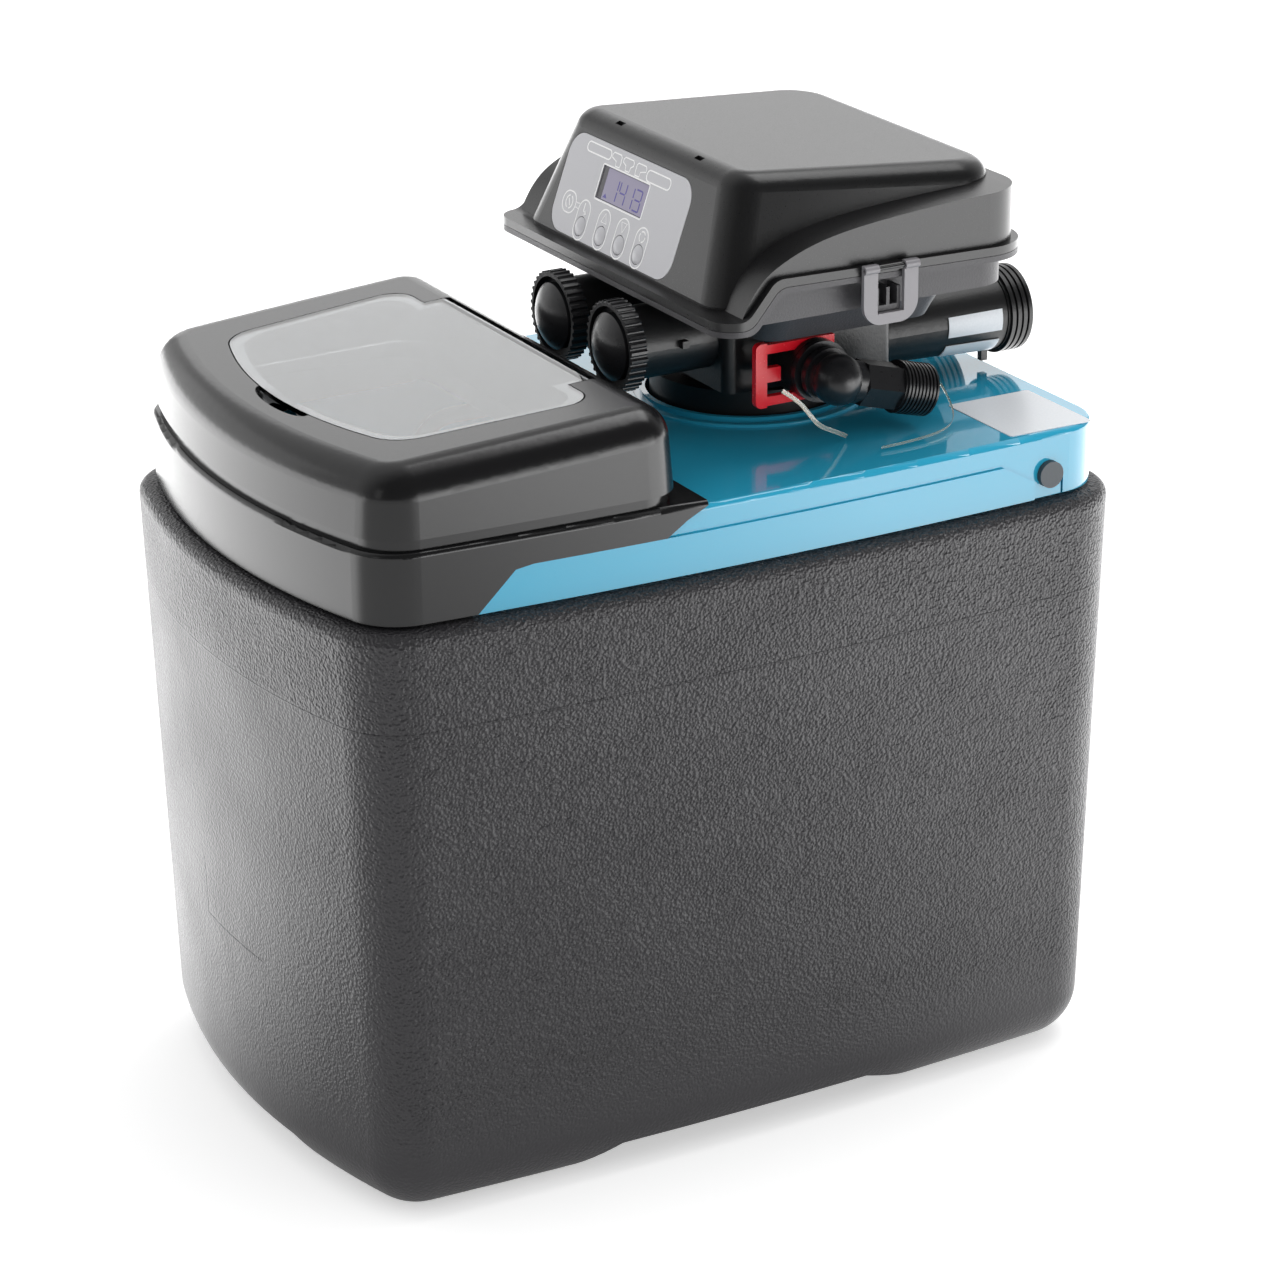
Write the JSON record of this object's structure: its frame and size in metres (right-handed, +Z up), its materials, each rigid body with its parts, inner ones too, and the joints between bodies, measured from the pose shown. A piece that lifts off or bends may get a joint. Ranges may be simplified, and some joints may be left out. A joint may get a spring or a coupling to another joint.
{
  "type": "water softener",
  "caption": "Compact cabinet water softener with a lift-off salt lid, a clear refill window, a control valve head, bypass knobs and a swivel drain elbow.",
  "frame": {"origin": "centre of the footprint's bounding box, on the floor", "axes": "+Z up; +Y to the rear, where the two ports point; +X to the side of the drain elbow; the salt lid is at -Y"},
  "size_m": [0.3266, 0.4836, 0.5251],
  "materials": {
    "cabinet_black": "blow-moulded, semi-gloss, faint grain",
    "deck_blue": "glossy moulded",
    "frame_black": "satin moulded",
    "lid_black": "satin moulded",
    "window_clear": "smoked clear plastic",
    "steel": "bright",
    "valve_black": "glass-filled moulding",
    "cover_black": "satin moulded",
    "tray_black": "spark-eroded texture",
    "knob_black": "gloss moulded",
    "clip_grey": "satin moulded",
    "clip_red": "gloss moulded",
    "overlay_silver": "printed polyester film",
    "key_silver": "embossed film",
    "display": "liquid crystal behind clear film",
    "board_green": "solder mask",
    "tank_blue": "wound fibreglass",
    "base_black": "moulded boot",
    "white_plastic": "natural moulded",
    "label_white": "blank label film",
    "seal_rubber": "moulded rubber",
    "resin_beads": "amber beads",
    "plug_grey": "moulded",
    "motor_metal": "plated can"
  },
  "bodies": {
    "cabinet_body": {"air_check": "white_plastic", "board_screws": "steel", "bottom_basket": "white_plastic", "brine_nut": "white_plastic", "brine_tube": "valve_black", "brine_well": "white_plastic", "cabinet": "cabinet_black", "circuit_board": "board_green", "deck": "deck_blue", "deck_label": "label_white", "deck_plugs": "plug_grey", "drive_bracket": "valve_black", "drive_motor": "motor_metal", "float_rod": "white_plastic", "hatch_frame": "frame_black", "head_tray": "tray_black", "injector": "knob_black", "keypad": "overlay_silver", "lcd": "display", "lead_gland": "seal_rubber", "meter_cage": "white_plastic", "neck_seal": "seal_rubber", "pickup_tube": "white_plastic", "port_labels": "label_white", "resin_bed": "resin_beads", "resin_tank": "tank_blue", "riser_tube": "white_plastic", "safety_valve": "valve_black", "salt_grid": "white_plastic", "spacer_stack": "white_plastic", "stack_cap": "valve_black", "stack_seals": "seal_rubber", "tank_base": "base_black", "top_basket": "white_plastic", "tray_screws": "steel", "valve_body": "valve_black", "valve_cover": "cover_black", "well_cap": "white_plastic"},
    "lid_body": {"salt_lid": "lid_black", "window_hinge_pins": "steel"},
    "window_body": {"lid_window": "window_clear"},
    "float_body": {"float": "white_plastic"},
    "piston_body": {"piston": "white_plastic", "piston_rod": "steel"},
    "gear_body": {"drive_gear": "white_plastic"},
    "pinion_body": {"motor_pinion": "white_plastic"},
    "knob_right_body": {"bypass_knob_right": "knob_black", "bypass_rotor_right": "white_plastic"},
    "knob_left_body": {"bypass_knob_left": "knob_black", "bypass_rotor_left": "white_plastic"},
    "elbow_body": {"drain_elbow": "knob_black", "drain_seal": "seal_rubber"},
    "clip_body": {"drain_clip": "clip_red"},
    "turbine_body": {"meter_turbine": "white_plastic"},
    "side_clip_right_body": {"side_clip_right": "clip_grey"},
    "side_clip_left_body": {"side_clip_left": "clip_grey"},
    "key_1_body": {"key_1": "key_silver"},
    "key_2_body": {"key_2": "key_silver"},
    "key_3_body": {"key_3": "key_silver"},
    "key_4_body": {"key_4": "key_silver"}
  },
  "joints": [
    {"name": "lid_lift", "type": "slide", "parent": "cabinet_body", "child": "lid_body", "axis": [0, 0, 1], "range_m": [0, 0.05]},
    {"name": "window_hinge", "type": "hinge", "parent": "lid_body", "child": "window_body", "pos_m": [0, -0.0565, 0.4251], "axis": [-1, 0, 0], "range_deg": [0, 95]},
    {"name": "float_rise", "type": "slide", "parent": "cabinet_body", "child": "float_body", "axis": [0, 0, 1], "range_m": [0, 0.02]},
    {"name": "piston_slide", "type": "slide", "parent": "cabinet_body", "child": "piston_body", "axis": [0, 0, 1], "range_m": [0, 0.014]},
    {"name": "gear_turn", "type": "hinge", "parent": "cabinet_body", "child": "gear_body", "pos_m": [0, 0.088, 0.45], "axis": [0, 0, 1], "range_deg": [0, 720]},
    {"name": "pinion_turn", "type": "hinge", "parent": "cabinet_body", "child": "pinion_body", "pos_m": [0.0378, 0.088, 0.45], "axis": [0, 0, 1], "range_deg": [-2880, 0]},
    {"name": "bypass_turn_right", "type": "hinge", "parent": "cabinet_body", "child": "knob_right_body", "pos_m": [0.0324, 0.006, 0.425], "axis": [0, 1, 0], "range_deg": [0, 90]},
    {"name": "bypass_turn_left", "type": "hinge", "parent": "cabinet_body", "child": "knob_left_body", "pos_m": [-0.0324, 0.006, 0.425], "axis": [0, 1, 0], "range_deg": [0, 90]},
    {"name": "drain_swivel", "type": "hinge", "parent": "cabinet_body", "child": "elbow_body", "pos_m": [0.1007, 0.085, 0.409], "axis": [1, 0, 0], "range_deg": [-3, 20]},
    {"name": "drain_clip_pull", "type": "slide", "parent": "cabinet_body", "child": "clip_body", "axis": [0, -1, 0], "range_m": [0, 0.032]},
    {"name": "meter_spin", "type": "hinge", "parent": "cabinet_body", "child": "turbine_body", "pos_m": [-0.0324, 0.188, 0.408], "axis": [0, 1, 0], "continuous": true},
    {"name": "side_clip_right_open", "type": "hinge", "parent": "cabinet_body", "child": "side_clip_right_body", "pos_m": [0.1298, 0.099, 0.4767], "axis": [0, -1, 0], "range_deg": [0, 14]},
    {"name": "side_clip_left_open", "type": "hinge", "parent": "cabinet_body", "child": "side_clip_left_body", "pos_m": [-0.1298, 0.099, 0.4767], "axis": [0, 1, 0], "range_deg": [0, 14]},
    {"name": "key_1_press", "type": "slide", "parent": "cabinet_body", "child": "key_1_body", "axis": [0, 0.9418, -0.3362], "range_m": [0, 0.0008], "stiffness_N_per_m": 600},
    {"name": "key_2_press", "type": "slide", "parent": "cabinet_body", "child": "key_2_body", "axis": [0, 0.9418, -0.3362], "range_m": [0, 0.0008], "stiffness_N_per_m": 600},
    {"name": "key_3_press", "type": "slide", "parent": "cabinet_body", "child": "key_3_body", "axis": [0, 0.9418, -0.3362], "range_m": [0, 0.0008], "stiffness_N_per_m": 600},
    {"name": "key_4_press", "type": "slide", "parent": "cabinet_body", "child": "key_4_body", "axis": [0, 0.9418, -0.3362], "range_m": [0, 0.0008], "stiffness_N_per_m": 600}
  ],
  "couplings": [
    {"joint": "piston_slide", "follows": "gear_turn", "m_per_rad": 0.0011141},
    {"joint": "pinion_turn", "follows": "gear_turn", "ratio": -4}
  ]
}
